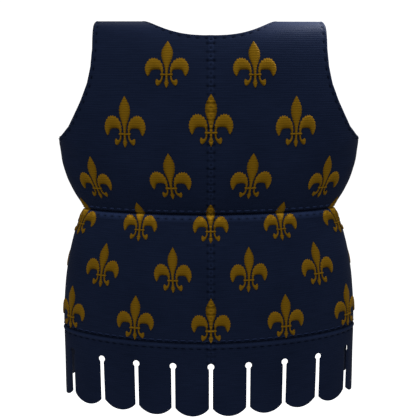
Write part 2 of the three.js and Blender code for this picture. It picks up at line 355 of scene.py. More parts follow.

# Soft creases, in thousandths of a share and millimetres: share and height of the start,
# share and height of the end, how wide it is and how high it stands, less than zero for a trough. The
# left and right sides differ a little, as cloth never lies the same on both.
CREASES = np.array([
    (465, -222, 330, -262, 17, -1.5), (480, -240, 380, -300, 14, 0.9),
    (-470, -224, -350, -254, 15, -1.3), (-478, -246, -400, -304, 13, 0.8),
    (360, -60, 300, -150, 20, -0.9), (-352, -70, -310, -140, 18, -0.8), (60, -330, 75, -290, 13, -0.9),
    (-190, -332, -165, -285, 14, -1), (285, -331, 262, -283, 13, -1.1),
    (-335, -330, -318, -290, 12, -0.9), (130, -352, 118, -405, 15, -0.9),
    (-75, -352, -82, -392, 13, -0.8), (-270, -352, -292, -410, 15, -1.1), (345, -352, 362, -402, 14, -1),
    (30, -420, -20, -560, 30, 0.9), (-250, -430, -200, -575, 30, 1.1), (210, -440, 250, -570, 32, 0.9),
    (440, -400, 430, -570, 26, -1.4), (-440, -400, -425, -560, 26, -1.3),
    (560, -236, 650, -280, 17, -1.4), (-555, -230, -640, -290, 17, -1.5),
    (760, -330, 745, -280, 14, -1.1), (-720, -330, -735, -276, 14, -1.1),
    (900, -328, 915, -270, 15, -1.1), (-880, -330, -870, -286, 14, -1), (700, -352, 690, -430, 17, -1.2),
    (-780, -352, -800, -440, 18, -1.3), (860, -352, 850, -410, 15, -1),
    (-930, -352, -950, -430, 16, -1.1), (640, -430, 660, -570, 28, 1.1),
    (-620, -430, -640, -560, 28, 1.1), (820, -450, 860, -575, 30, 1.1), (-840, -450, -830, -575, 30, 1),
]) / 1000


def creases(share, z):
    """The soft creases: each is a hill across its line, fading out at both ends."""
    width_here = half_length(z)
    total = np.zeros_like(z)
    for start_share, start_z, end_share, end_z, width, height in CREASES:
        from_start = np.stack([(share - start_share) * width_here, z - start_z], axis=1)
        line = np.array([(end_share - start_share) * MEAN_HALF_LENGTH, end_z - start_z])
        length = np.hypot(*line)
        along = from_start @ line / length**2
        aside = from_start @ np.array([-line[1], line[0]]) / length
        fade = smooth(along, -0.25, 0.3) * (1 - smooth(along, 0.55, 1.25))
        total = total + height * hill(aside, width) * fade
    return total


def centre_marks(off_centre, z):
    """The marks of a centre seam, each from 0 to 1: a dimple at each stitch on both sides, smile-shaped
    folds from dimple to dimple and half way between, and a small raised ring before the next pair."""
    cell = z / CENTRE_PITCH
    uneven = 0.76 + 0.24 * np.sin(2.4 * np.floor(cell + 0.5) + 1.1)
    uneven = uneven * smooth(-z, NECK_DROP["front"] + 0.003, NECK_DROP["front"] + 0.008)
    uneven = uneven * smooth(z, KEYHOLE_TOP_Z - 0.002, KEYHOLE_TOP_Z + 0.002)
    up = (cell - np.floor(cell + 0.5)) * CENTRE_PITCH
    dimple = hill(np.abs(off_centre) - CENTRE_STITCHES, 0.0022) * hill(up, 0.0024)
    mid = np.where(up > 0, up - CENTRE_PITCH / 2, up + CENTRE_PITCH / 2)
    sag = 0.0012 * (1 - (off_centre / CENTRE_STITCHES) ** 2)
    smile = (hill(up + sag, 0.0013) + 0.7 * hill(mid + sag, 0.0012)) * hill(off_centre, 0.0048)
    ring = hill(np.hypot(off_centre, mid * 0.8) - 0.0034, 0.0013)
    return uneven * dimple, uneven * smile, uneven * ring


def centre_distances(share, z):
    """How far each point is from the centre front seam and from the centre back seam, with a sign."""
    length = half_length(z)
    return share * length, (1 - np.abs(share)) * length


def seam_hills(share, z, seams):
    """Each hill of a table of level seams: its height times a hill across the seam, and where stitches
    pull it, times a stitch wave along the seam."""
    stitch = stitch_wave(share * half_length(z))
    for seam_z, rows in seams.items():
        for above, height, width, between in rows:
            yield height * hill(z - seam_z - above, width) * (between + (1 - between) * stitch)


def seam_relief(share, z):
    """The seams' own shapes: the sum of the level seams' hills and of the centre seams' marks."""
    lift = sum(seam_hills(share, z, SEAM_RELIEF))
    for off_centre in centre_distances(share, z):
        lift = lift + CENTRE_BAND[0] * hill(off_centre, CENTRE_BAND[1])
        for height, mark in zip(CENTRE_RELIEF, centre_marks(off_centre, z)):
            lift = lift + height * mark
    return lift


def seam_painted_shading(share, z):
    """How much of its full colour the cloth shows beside the seams, a product of one plus each mark:
    painted shade in the seam grooves, at the stitches and in the folds they pull, and painted highlight on
    the raised puckers and ridges between them and on the band below the waist that faces up."""
    below = WAIST_Z - z
    painted_shading = 1 + WAIST_BAND_PAINTED_HIGHLIGHT * smooth(below, 0.0016, 0.0040) * (1 - smooth(below, 0.0045, 0.0150))
    for mark in seam_hills(share, z, SEAM_PAINTED_SHADING):
        painted_shading = painted_shading * (1 + mark)
    for off_centre in centre_distances(share, z):
        for strength, mark in zip(CENTRE_PAINTED_SHADING, centre_marks(off_centre, z)):
            painted_shading = painted_shading * (1 + strength * mark)
    return painted_shading


def edge_marks(points, place):
    """Near the neckline and the armholes the turned edge rolls in, and each stitch pulls a small dimple
    with
    painted shade in it: the height off the plain form, and how much of its colour the cloth shows under the
    painted shade."""
    mirrored = np.stack([np.abs(points[:, 0]), points[:, 1], points[:, 2]], axis=1)
    lift, painted_shading = np.zeros(len(points)), np.ones(len(points))
    depth, width, darker = EDGE_DIMPLE
    swell_at, swell, swell_width = EDGE_SWELL
    for line, along in EDGE_LINES[place]:
        distance, at = nearest(mirrored, line[:, :3], along)
        roll = np.clip(1 - distance / EDGE_ROLL, 0, 1)
        pull = hill(distance - EDGE_STITCHES, width) * stitch_wave(at) ** 2
        lift = lift - EDGE_SINK * roll**2 - depth * pull + swell * hill(distance - swell_at, swell_width)
        painted_shading = painted_shading * (1 - darker * pull)
    return lift, painted_shading


def relief(share, z):
    """Creases and seams together."""
    return creases(share, z) + seam_relief(share, z)


def on_cloth(share, z, lift):
    """Points that stand off the creased cloth by the lift, and the directions across, up and out there."""
    ground, across, up, out = cloth_frame(share, z)
    return ground + out * (relief(share, z) + lift)[:, None], across, up, out


# ---------------- making meshes
def add_mesh(name, points, faces, uvs=None, painted_shading=None):
    """A smooth-shaded mesh object from points and faces of one size, with an optional UV map per corner
    and an optional painted shade and highlight per point."""
    mesh = bpy.data.meshes.new(name)
    mesh.vertices.add(len(points))
    mesh.vertices.foreach_set("co", np.ascontiguousarray(points, np.float32).ravel())
    size = faces.shape[1]
    mesh.loops.add(faces.size)
    mesh.loops.foreach_set("vertex_index", np.ascontiguousarray(faces, np.int32).ravel())
    mesh.polygons.add(len(faces))
    mesh.polygons.foreach_set("loop_start", np.arange(0, faces.size, size, dtype=np.int32))
    mesh.polygons.foreach_set("use_smooth", np.ones(len(faces), dtype=bool))
    if uvs is not None:
        layer = mesh.uv_layers.new(name="cloth")
        layer.data.foreach_set("uv", np.ascontiguousarray(uvs, np.float32).ravel())
    if painted_shading is not None:
        layer = mesh.attributes.new("painted_shading", "FLOAT", "POINT")
        layer.data.foreach_set("value", np.ascontiguousarray(painted_shading, np.float32))
    mesh.update(calc_edges=True)
    mesh.validate()
    piece = bpy.data.objects.new(name, mesh)
    bpy.context.scene.collection.objects.link(piece)
    return piece


def grid_faces(rows, columns):
    """The four-sided faces of a grid, counter-clockwise where columns run right and rows run down."""
    index = np.arange(rows * columns).reshape(rows, columns)
    left, right = index[:, :-1], index[:, 1:]
    return np.stack([left[:-1], left[1:], right[1:], right[:-1]], axis=-1).reshape(-1, 4)


def cloth_shell(name, points, out, faces, cloth_uv, painted_shading, rounding):
    """Gives a sheet its wall. The inner face lies one wall thickness behind the outer one, and a middle
    ring joins them round the rim, pushed out by rounding times half the wall to round a free edge."""
    corners = faces[:, [0, 1, 1, 2, 2, 3, 3, 0]].reshape(-1, 2)
    key = np.sort(corners, axis=1) @ np.array([len(points), 1])
    _, first, count = np.unique(key, return_index=True, return_counts=True)
    rim = corners[first[count == 1]]
    along = unit(points[rim[:, 1]] - points[rim[:, 0]])
    side = np.zeros_like(points)
    for end in (0, 1):
        np.add.at(side, rim[:, end], np.cross(along, out[rim[:, end]]))
    side = unit(side)
    middle = points - WALL / 2 * out + side * (rounding * WALL / 2)[:, None]
    on_rim = np.unique(rim)
    total = len(points)
    everything = np.concatenate([points, points - WALL * out, middle[on_rim]])
    a, b = rim.T
    mid_a, mid_b = (2 * total + np.searchsorted(on_rim, end) for end in (a, b))
    quads = np.concatenate([
        faces,
        faces[:, ::-1] + total,
        np.stack([b, a, mid_a, mid_b], axis=1),
        np.stack([mid_b, mid_a, a + total, b + total], axis=1),
    ])
    uv = np.concatenate([cloth_uv, cloth_uv, cloth_uv[on_rim]])
    painted_shading = np.concatenate([painted_shading, np.ones(total), painted_shading[on_rim]])
    return add_mesh(name, everything, quads, uv[quads.ravel()], painted_shading)


def spaced(distances, spacing, end):
    """The given distances, then even steps of about the spacing up to the end."""
    rest = np.linspace(distances[-1], end, max(2, int(round((end - distances[-1]) / spacing)) + 1))
    return np.concatenate([distances, rest[1:]])


# Rows and columns of points close to a seam or an edge, in millimetres from it.
NEAR_SEAM = np.array([0, 0.8, 1.7, 2.7, 3.8, 5.0, 6.2, 7.4, 8.8, 10.4]) / 1000
NEAR_CENTRE = np.array([0, 1.1, 2.2, 3.3, 4.4, 5.5, 6.5, 7.6, 9.0, 10.8, 13.0]) / 1000
NEAR_SIDE = np.array([0, 0.9, 1.9, 3.0, 4.1, 5.2, 6.4, 8.2]) / 1000
NEAR_NECK = np.array([0, 1.0, 2.1, 3.2, 4.5]) / 1000
ROW_SPACING = {"front": 0.0021, "back": 0.0030}  # how far apart the rows are elsewhere
COLUMN_SPACING = 0.0031
PANEL_WIDTH = 0.32  # about how wide a panel is


def panel_columns():
    """Columns of a panel as parts of its width from the centre seam (0) outwards (1)."""
    outer = PANEL_WIDTH - NEAR_SIDE[::-1]
    across = np.concatenate([spaced(NEAR_CENTRE, COLUMN_SPACING, outer[0]), outer[1:]])
    return (across / PANEL_WIDTH).round(5)


def finish_panel(name, place, side, share, z, faces, on_edge, curl=0.0, turned=False):
    """Turns shares from the panel's centre seam and heights into a panel: the plain form, plus relief and
    curl along its normal, with a wall. A panel with turned edges gets their marks too."""
    uv = np.stack([share * half_length(z), cloth_run(z)], axis=1)
    share = side * from_front(share, place)
    points, _, _, out = cloth_frame(share, z)
    lift, painted_shading = relief(share, z) + curl, seam_painted_shading(share, z)
    if turned:
        edge_lift, edge_painted_shade = edge_marks(points, place)
        lift, painted_shading = lift + edge_lift, painted_shading * edge_painted_shade
    if (side > 0) == (place == "back"):
        faces = faces[:, ::-1]
    return cloth_shell(name, points + out * lift[:, None], out, faces, uv, painted_shading, on_edge)


def chest_panel(name, place, side):
    """A chest panel. Column u is a part of the width to the armhole or side seam, and row v a part of the
    way from its top edge down to the waist, so that z = top + v * (waist - top)."""
    neck_u = NECK_SHARE / panel_width(np.zeros(1), place)[0]
    u = panel_columns()
    u = np.sort(np.append(u[np.abs(u - neck_u) > 0.004], neck_u))
    top = np.zeros(len(u))
    for _ in range(31):
        top = neckline(u * panel_width(top, place), place)
    heights = WAIST_Z * np.linspace(0, 1, CHEST_POINTS)
    run = run_along(rings_at(heights)[:, 1], heights)
    from_waist = spaced(NEAR_SEAM, ROW_SPACING[place], run[-1] - 0.0060)
    from_waist = np.concatenate([from_waist, run[-1] - NEAR_NECK[::-1]])
    v = np.interp(run[-1] - from_waist[::-1], run, heights) / WAIST_Z
    v[0], v[-1] = 0, 1 - SEAM_GAP / 2 / -WAIST_Z
    z = (top + v[:, None] * (WAIST_Z - top)).ravel()
    gap = SEAM_GAP / 2 / half_length(z)
    u = np.tile(u, len(v))
    share = gap + u * (panel_width(z, place) - 2 * gap)
    first_row = np.arange(len(z)) < len(top)
    on_edge = (first_row & (u < neck_u)) | ((u == 1) & (z > UNDERARM_Z))
    faces = grid_faces(len(v), len(top))
    return finish_panel(name, place, side, share, z, faces, on_edge * 1.0, turned=True)


def skirt_panel(name, place, side):
    """A skirt panel, level rows from the waist seam to the hem seam, close together near both seams."""
    depth = WAIST_Z - HEM_SEAM_Z
    down = spaced(NEAR_SEAM, ROW_SPACING[place], depth - 0.0100)
    down = np.concatenate([down, depth - NEAR_SEAM[::-1][1:]])
    down[0], down[-1] = SEAM_GAP / 2, depth - SEAM_GAP / 2
    u = panel_columns()
    z = np.repeat(WAIST_Z - down, len(u))
    gap = SEAM_GAP / 2 / half_length(z)
    share = gap + np.tile(u, len(down)) * (0.5 - 2 * gap)
    return finish_panel(name, place, side, share, z, grid_faces(len(down), len(u)), np.zeros(len(z)))


def dag_rows():
    """Heights of a half dag's rows, and how far the slot's edge is from the slot's line at each: nothing
    above the keyhole, then round its circle by even angles, then half the slot's width."""
    circle_z = KEYHOLE_TOP_Z - KEYHOLE_RADIUS
    opening = math.asin(SLOT_WIDTH / 2 / KEYHOLE_RADIUS)
    angle = np.linspace(0, math.pi - opening, 13)
    depth = HEM_SEAM_Z - KEYHOLE_TOP_Z
    above = np.append(spaced(NEAR_SEAM, ROW_SPACING["back"], depth - 0.0005)[:-1], depth - 0.0012)
    round_z = circle_z + KEYHOLE_RADIUS * np.cos(angle)
    below = np.linspace(round_z[-1], DAG_TIP_Z, 36)[1:]
    z = np.concatenate([HEM_SEAM_Z - above, round_z, below])
    slot = np.full(len(below), SLOT_WIDTH / 2)
    edge = np.concatenate([np.zeros(len(above)), KEYHOLE_RADIUS * np.sin(angle), slot])
    z[0] = HEM_SEAM_Z - SEAM_GAP / 2
    return z, edge


def hem_panel(name, place, side):
    """A hem band panel of half dags side by side. In each, columns run from the slot's edge to the dag's
    middle. Towards the bottom the rows bend into the arc of the dag's round end, which is the last row."""
    z_row, edge = dag_rows()
    halves = 2 * DAGS_PER_PANEL
    half_width = half_length(np.array([HEM_SEAM_Z]))[0] / 2 / halves
    chord, sagitta = half_width - SLOT_WIDTH / 2, SLOT_END_Z - DAG_TIP_Z
    radius = (chord**2 + sagitta**2) / (2 * sagitta)
    x = edge[:, None] + np.linspace(0, 1, 11) * (half_width - edge[:, None])
    arc = DAG_TIP_Z + radius - np.sqrt(np.maximum(radius**2 - (half_width - x) ** 2, 0))
    bend_from = KEYHOLE_TOP_Z - DAG_STRAIGHT
    part = np.clip((bend_from - z_row) / (bend_from - DAG_TIP_Z), 0, 1)[:, None]
    z_half = np.where(part > 0, bend_from + part * (arc - bend_from), z_row[:, None])
    number = np.arange(halves)[:, None, None]
    slot_line, dag_line = number + number % 2, number + 1 - number % 2
    share = (slot_line + (dag_line - slot_line) * x / half_width) / halves / 2
    gap = SEAM_GAP / 2 / (2 * half_width * halves)
    share = np.clip(share, gap, 0.5 - gap).ravel()
    z = np.tile(z_half.ravel(), halves)
    grid = grid_faces(*z_half.shape)
    faces = [(grid[:, ::-1] if half % 2 else grid) + half * z_half.size for half in range(halves)]
    # points of neighbouring halves that lie together are made one
    spots = (np.stack([share, z], axis=1) * 2e5).round().astype(int)
    _, first, index = np.unique(spots, axis=0, return_index=True, return_inverse=True)
    faces = index.ravel()[np.concatenate(faces)]
    share, z = share[first], z[first]
    free = (z < HEM_SEAM_Z - 0.001) & (share > 1.5 * gap) & (share < 0.5 - 1.5 * gap)
    curl = dag_curl(share * halves * 2, z)
    return finish_panel(name, place, side, share, z, faces, free * 1.0, curl)


def dag_curl(across, z):
    """Each dag bows a little: it stands out along its middle and drifts in or out at its tip, a bit
    differently from its neighbours. Across counts half dags from the centre seam."""
    number = np.floor(across / 2)
    down = smooth(KEYHOLE_TOP_Z - z, 0, KEYHOLE_TOP_Z - DAG_TIP_Z)
    middle = np.cos(math.pi * (across - 2 * number - 1) / 2)
    drift = DAG_DRIFT * np.sin(2.1 * number + 0.7)
    return down * (drift * smooth(middle, 0, 0.4) + DAG_BOW * middle)


# ---------------- fleurs-de-lis in raised satin stitch
# One motif is drawn in its own measures: across from -1 to 1, and up from the foot (0) to the tip (1).
# The centre petal's columns are up and half its width. A side petal's are across and up on its upper
# contour, then on its lower one, from the stem round to the tip. A foot's are the same for its outer and
# inner contours, from the bar round. The bar's are across, and up on its lower and upper sides.
THREAD_PITCH = 0.0041  # the satin stitches lie in level ribs this far apart
CENTRE_PETAL = np.array([
    (1000, 12), (958, 75), (890, 165), (825, 238), (765, 268), (690, 260), (620, 218), (540, 157),
    (455, 98), (385, 70), (300, 58), (205, 55), (160, 80), (112, 107), (60, 78), (18, 30), (0, 8),
]) / 1000
SIDE_PETAL = np.array([
    (150, 300, 245, 300), (152, 400, 258, 350), (185, 485, 285, 385), (295, 580, 360, 403),
    (465, 635, 450, 406), (610, 650, 545, 406), (760, 636, 635, 398), (895, 575, 690, 382),
    (975, 500, 728, 355), (998, 425, 752, 330), (958, 340, 780, 298), (872, 270, 828, 266),
]) / 1000
FOOT = np.array([
    (240, 285, 150, 285), (250, 222, 163, 213), (292, 180, 194, 164), (348, 168, 226, 130),
    (400, 190, 262, 102), (448, 203, 300, 78), (491, 180, 335, 62), (503, 132, 362, 52),
    (482, 86, 386, 47), (430, 54, 406, 47),
]) / 1000
BAR = np.array([
    (-285, 288, 302), (-265, 272, 320), (-215, 268, 325), (-150, 276, 316), (-80, 280, 312),
    (0, 278, 314), (80, 280, 312), (150, 276, 316), (215, 268, 325), (265, 272, 320), (285, 288, 302),
]) / 1000

# Where the motifs sit, row by row, in millimetres and thousandths of a share: the heights of the tip and
# the foot, how wide the motif is, and the shares of the tip and the foot. Each motif off the centre seams
# has a mirror image on -X.
FLEUR_ROWS = {
    1: [
        (-39, -117, 116, 115, 115), (-39, -117, 116, 775, 775), (-39, -117, 116, 1000, 1000),
    ],
    2: [
        (-127, -216, 114.5, 0, 0), (-131, -220, 114.5, 227.5, 227.5), (-127, -216, 114.5, 677, 677),
        (-127, -216, 114.5, 888, 888),
    ],
    3: [
        (-229, -313, 117.5, 112.5, 112.5), (-239, -318, 106, 338, 346), (-237, -318, 106, 556, 556),
        (-229, -313, 115, 778, 778), (-229, -313, 115, 1000, 1000),
    ],
    4: [
        (-323, -394, 112.5, 0, 0), (-323, -394, 112.5, 232, 216), (-323, -394, 112.5, 440, 433),
        (-323, -394, 112.5, 667, 667), (-323, -394, 112.5, 889, 889),
    ],
    5: [
        (-402, -486, 104, 110, 100), (-402, -486, 104, 313, 307), (-402, -486, 104, 516, 510),
        (-402, -486, 104, 706, 700), (-402, -486, 104, 902, 900),
    ],
    6: [
        (-495, -583, 102.5, 0, 0), (-495, -583, 102.5, 201.5, 201.5), (-495, -583, 102.5, 403, 403),
        (-495, -583, 102.5, 602, 600), (-495, -583, 102.5, 802, 800), (-495, -583, 102.5, 1000, 1000),
    ],
}
# How far the middle of each row's motifs hangs below its drawn place, as a part of their height.
FLEUR_SAG = {1: 0.010, 2: 0.030, 3: 0.045, 4: 0.015, 5: 0.020, 6: 0.022}
WAIST_SPREAD = 0.012  # share by which motifs spread at the waist seam, where the cloth is eased in
CENTRE_SCALLOP = (0.018, 0.058)  # depth of the centre petal's scallops, and from one to the next
SIDE_SCALLOP = (0.013, 14)  # depth of a side petal's scallops, and how many there are round it
PETAL_RISE, FOOT_RISE, BAR_RISE = 0.0022, 0.0020, 0.0025  # how high the pads stand
PAD_FOOT = -0.0006  # the underside of a pad, below the face of the cloth


def drawn(table, steps):
    """Smooth lines through a short table of contour points, at even steps along the table."""
    at = np.linspace(0, len(table) - 1, steps)
    return through(np.arange(len(table), dtype=float), table, at)


def thread_pad(left, right, height, mirror, shade):
    """One pad of satin stitch between two contours, as a closed D-shaped tube: round the top from the
    left contour to the right one, height * (1 - t^2.4)^0.6 high, and back underneath. Rows follow the
    contours, and shade gives the painted shade (below zero) and painted highlight (above zero) along the
    left and the right one."""
    t = np.linspace(-1, 1, 8)
    along = np.linspace(-1, 1, len(left))[:, None]
    across, up = (left[:, axis, None] + (t + 1) / 2 * (right - left)[:, axis, None] for axis in (0, 1))
    crown = 0.35 + 0.65 * (1 - np.abs(along) ** 10) ** 0.5
    lift = height * np.clip(1 - np.abs(t) ** 2.4, 0, 1) ** 0.6 * crown + 0.00025
    painted_shading = 1 + shade[0] * (0.5 - 0.5 * t) ** 5 + shade[1] * (0.5 + 0.5 * t) ** 5
    painted_shading = np.tile(painted_shading, (len(left), 1))
    back_round = [*range(len(t)), -1, 0]
    across, up, painted_shading = across[:, back_round], up[:, back_round], painted_shading[:, back_round]
    lift = np.concatenate([lift, np.full((len(left), 2), PAD_FOOT)], axis=1)
    return mirror * across, up, lift, painted_shading


def motif_pads():
    """The pads of one motif: a centre petal that runs down through the bar to its foot, two side petals,
    two curled feet, and the bar across. Cosine scallops along the petals' edges are thread ends."""
    petal = drawn(CENTRE_PETAL, 64)
    scallops = CENTRE_SCALLOP[0] * np.cos(2 * math.pi * petal[:, 0] / CENTRE_SCALLOP[1])
    half = petal[:, 1] + scallops * smooth(petal[:, 1], 0.05, 0.12)
    left, right = (np.stack([hand * half, petal[:, 0]], axis=1) for hand in (-1, 1))
    # The pads' shades are painted: painted shadow along their lower and inner edges, and a little painted
    # highlight along the side petals' upper edges.
    pads = [thread_pad(left, right, PETAL_RISE, 1, (-0.25, -0.25))]
    side, foot, bar = drawn(SIDE_PETAL, 58), drawn(FOOT, 24), drawn(BAR, 20)
    upper, lower = side[:, :2], side[:, 2:]
    scallops = SIDE_SCALLOP[0] * np.cos(2 * math.pi * np.linspace(0, SIDE_SCALLOP[1], len(side)))
    upper = upper + scallops[:, None] * unit(upper - lower)
    for mirror in (1, -1):
        pads.append(thread_pad(upper, lower, PETAL_RISE, mirror, (0.10, -0.50)))
        pads.append(thread_pad(foot[:, 2:], foot[:, :2], FOOT_RISE, mirror, (-0.50, -0.10)))
    pads.append(thread_pad(bar[:, [0, 1]], bar[:, [0, 2]], BAR_RISE, 1, (-0.40, 0.0)))
    return pads


MOTIF_PADS = motif_pads()


def tube_faces(rings, around):
    """Faces of a tube of rings with an even number of points each, closed straight across its ends."""
    index = np.arange(rings * around).reshape(rings, around)
    ahead = np.roll(index, -1, axis=1)
    walls = np.stack([index[:-1], index[1:], ahead[1:], ahead[:-1]], axis=-1).reshape(-1, 4)
    caps = []
    for ring, turn in ((index[0], 1), (index[-1], -1)):
        low, high = ring[: around // 2], ring[::-1][: around // 2]
        caps.append(np.stack([low[:-1], low[1:], high[1:], high[:-1]], axis=1)[:, ::turn])
    return np.concatenate([walls, *caps])


def facing_out(points, faces):
    """The faces, turned round if the volume inside them comes out below zero."""
    a, b, c, d = (points[faces[:, corner]] - points.mean(axis=0) for corner in range(4))
    volume = (a * np.cross(b, c)).sum() + (a * np.cross(c, d)).sum()
    return faces if volume > 0 else faces[:, ::-1]


def fleur_row(number):
    """A row of motifs on the cloth. Across and up are laid along it: share = middle + across * width / 2
    and z = foot + up * (tip - foot), and each pad stands its own height off the creased cloth."""
    points, faces, painted_shadings = [], [], []
    count = 0
    for tip_z, foot_z, width, tip_share, foot_share in np.array(FLEUR_ROWS[number]) / 1000:
        for hand in (1, -1) if 0 < tip_share < 1 else (1,):
            for across, up, lift, shade in MOTIF_PADS:
                up = up - FLEUR_SAG[number] * smooth(up, 0, 0.25) * (1 - smooth(up, 0.6, 1))
                z = (foot_z + up * (tip_z - foot_z)).ravel()
                share = (foot_share + up * (tip_share - foot_share) + across * width / 2).ravel()
                spread = WAIST_SPREAD * hill(z - WAIST_Z, 0.016) * np.clip(tip_share / 0.2, 0, 1)
                share = hand * (share + spread)
                placed, *_ = on_cloth(share, z, lift.ravel())
                points.append(placed)
                faces.append(facing_out(placed, tube_faces(*across.shape)) + count)
                # the gold carries the seams' painted shade too, times the pad's own painted shade
                painted_shadings.append(seam_painted_shading(share, z) * shade.ravel())
                count += len(placed)
    return np.concatenate(points), np.concatenate(faces), None, np.concatenate(painted_shadings)


# ---------------- stitches
BEAD_RINGS = np.array([(-1.0, 0.25), (-0.86, 0.70), (-0.40, 1.0), (0.40, 1.0), (0.86, 0.70), (1.0, 0.25)])
BEAD_AROUND = 6
FINE_THREAD = (0.0015, 0.0006)  # width of a small stitch and its height off the cloth
CENTRE_LENGTH = 0.0042  # of a stitch beside a centre seam
EDGE_LENGTHS = (0.0072, 0.0046)  # of a stitch at the neckline and at an armhole
CENTRE_SINK = 0.0004  # how far its thread sinks into the cloth


def stitch_beads(centres, along, out, length, width, height):
    """Short rounded threads: rings along a straight line, each ring width across the cloth and height off
    it, swelling and narrowing as the table of rings says."""
    turn = 2 * math.pi * np.arange(BEAD_AROUND) / BEAD_AROUND
    ring_at, ring_size = (column[:, None, None] for column in BEAD_RINGS.T)
    centres, along, out = (rows[:, None, None, :] for rows in (centres, along, out))
    points = (
        centres
        + along * ring_at * length / 2
        + np.cross(out, along) * (ring_size * np.cos(turn)[:, None] * width / 2)
        + out * (ring_size * np.sin(turn)[:, None] * height)
    )
    one = facing_out(points[0].reshape(-1, 3), tube_faces(len(BEAD_RINGS), BEAD_AROUND))
    faces = one + len(BEAD_RINGS) * BEAD_AROUND * np.arange(len(centres))[:, None, None]
    return points.reshape(-1, 3), faces.reshape(-1, 4)


def level_stitches(z, length, width, height, sink):
    """Stitches all the way round at a height, one at each top of the stitch wave."""
    around = half_length(np.array([z]))[0]
    at = (np.arange(int(around / STITCH_PITCH)) + 0.5) * STITCH_PITCH / around
    share = np.concatenate([-at[::-1], at])
    level = np.full(len(share), z)
    centres, across, _, out = on_cloth(share, level, -sink)
    return stitch_beads(centres, across, out, length, width, height)


def centre_stitches(top, bottom, centre_share):
    """Two columns of stitches beside a centre seam, one at each dimple."""
    cells = np.arange(math.ceil(bottom / CENTRE_PITCH), math.floor(top / CENTRE_PITCH) + 1) * CENTRE_PITCH
    z = np.repeat(cells, 2)
    share = centre_share + np.tile([-1.0, 1.0], len(cells)) * CENTRE_STITCHES / half_length(z)
    centres, _, up, out = on_cloth(share, z, -CENTRE_SINK)
    return stitch_beads(centres, up, out, CENTRE_LENGTH, *FINE_THREAD)


def edge_stitches(place, which):
    """Stitches inside a turned edge, on both sides of the body: each lies one stitch wave along the edge
    from the next, moved in from it along the cloth, part of the way across and part of the way down."""
    line, along = EDGE_LINES[place][which]
    at = np.arange(0.5, int(along[-1] / STITCH_PITCH)) * STITCH_PITCH
    spot, ahead = (read_along(there, along, line) for there in (at, at + 0.002))
    direction = unit(ahead[:, :3] - spot[:, :3])
    share, z = spot[:, 3], spot[:, 4]
    _, across, up, out = cloth_frame(share, z)
    inward = unit(np.cross(out, direction)) * (-1 if place == "front" else 1)
    share = share + (inward * across).sum(axis=1) * EDGE_STITCHES / half_length(z)
    z = height_at(cloth_run(z) - (inward * up).sum(axis=1) * EDGE_STITCHES)
    ground, _, _, out = cloth_frame(share, z)
    halves = (ground - out * EDGE_SINK, direction, out)
    both = [np.concatenate([rows, rows * [-1, 1, 1]]) for rows in halves]
    return stitch_beads(*both, EDGE_LENGTHS[which], *FINE_THREAD)


# ---------------- finishes
class Finish:
    """A node material in the making: its shader, and short ways to add nodes and join them."""

    def __init__(self, name):
        self.material = bpy.data.materials.new(name)
        self.material.use_nodes = True
        self.tree = self.material.node_tree
        self.shader = self.tree.nodes["Principled BSDF"]

    def join(self, node, socket, value):
        """Links an output to the socket, or sets the socket to a value."""
        if isinstance(value, bpy.types.NodeSocket):
            self.tree.links.new(value, node.inputs[socket])
        else:
            node.inputs[socket].default_value = value

    def add(self, kind, *wires, **settings):
        """A new node with its settings and wires."""
        node = self.tree.nodes.new("ShaderNode" + kind)
        for key, value in settings.items():
            setattr(node, key, value)
        for socket, value in wires:
            self.join(node, socket, value)
        return node

    def noise(self, place, scale, detail=2.0, stretch=None):
        """Soft random patches, about scale of them to a metre, or stretched along each axis."""
        if stretch:
            place = self.add("Mapping", (0, place), ("Scale", stretch)).outputs[0]
        return self.add("TexNoise", (0, place), ("Scale", scale), ("Detail", detail)).outputs[0]

    def sum(self, value, gain, more):
        """value * gain + more."""
        return self.add("Math", (0, value), (1, gain), (2, more), operation="MULTIPLY_ADD").outputs[0]

    def ribs(self, position, pitch):
        """Ribs of thread: 0.5 + 0.5 * sin of the way across them."""
        turn = self.add("Math", (0, position), (1, 2 * math.pi / pitch), operation="MULTIPLY").outputs[0]
        return self.sum(self.add("Math", (0, turn), operation="SINE").outputs[0], 0.5, 0.5)

    def stretched(self, mix, low, high):
        """The mix as a part of the way from low to high."""
        return self.add("MapRange", ("Value", mix), ("From Min", low), ("From Max", high)).outputs[0]

    def colour(self, part, dark, light):
        """A colour that part of the way from dark to light."""
        wires = ("Factor", part), (6, (*dark, 1)), (7, (*light, 1))
        return self.add("Mix", *wires, data_type="RGBA").outputs[2]

    def with_painted_shading(self, colour):
        """The colour times the painted shade and highlight that each point of the piece carries."""
        painted_shading = self.add("Attribute", attribute_name="painted_shading").outputs["Fac"]
        return self.add("VectorMath", (0, colour), ("Scale", painted_shading), operation="SCALE").outputs[0]

    def done(self, colour, height, strength, distance, **sockets):
        """Joins the colour and the bump to the shader and sets its constants."""
        bump = self.add("Bump", ("Height", height), ("Strength", strength), ("Distance", distance))
        sockets = {"Base Color": colour, "Normal": bump.outputs[0], **sockets}
        for socket, value in sockets.items():
            self.join(self.shader, socket, value)
        return self.material


